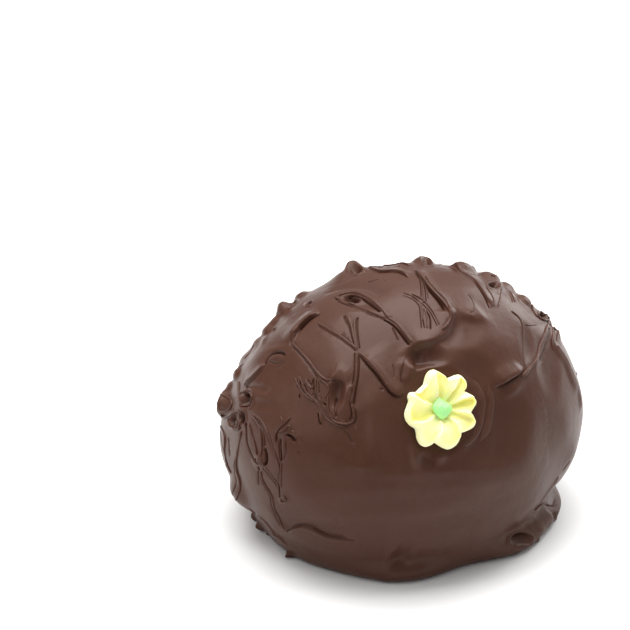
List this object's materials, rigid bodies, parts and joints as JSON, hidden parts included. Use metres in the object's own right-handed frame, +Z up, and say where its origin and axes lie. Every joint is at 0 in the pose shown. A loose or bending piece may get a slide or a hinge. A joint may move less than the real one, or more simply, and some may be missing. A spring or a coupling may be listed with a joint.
{
  "type": "chocolate egg",
  "caption": "Hand-dipped chocolate egg lying on its flattened underside, with dragged swirls, drips and a pooled foot, and a piped icing flower on its side.",
  "frame": {"origin": "on the table, in the middle of the egg's own length and width", "axes": "+Z up; +X along the egg's long axis, towards its narrower end; the icing flower faces -Y"},
  "size_m": [0.0968, 0.084, 0.0688],
  "materials": {
    "chocolate": "brown chocolate coating with a satin gloss, brighter on the thin ridges",
    "icing": "pale yellow piped sugar icing, smooth and matt",
    "centre_icing": "pale green piped sugar icing, smooth and matt"
  },
  "bodies": {
    "root": {"chocolate_egg": "chocolate", "icing_flower": "icing", "flower_centre": "centre_icing"}
  },
  "joints": []
}
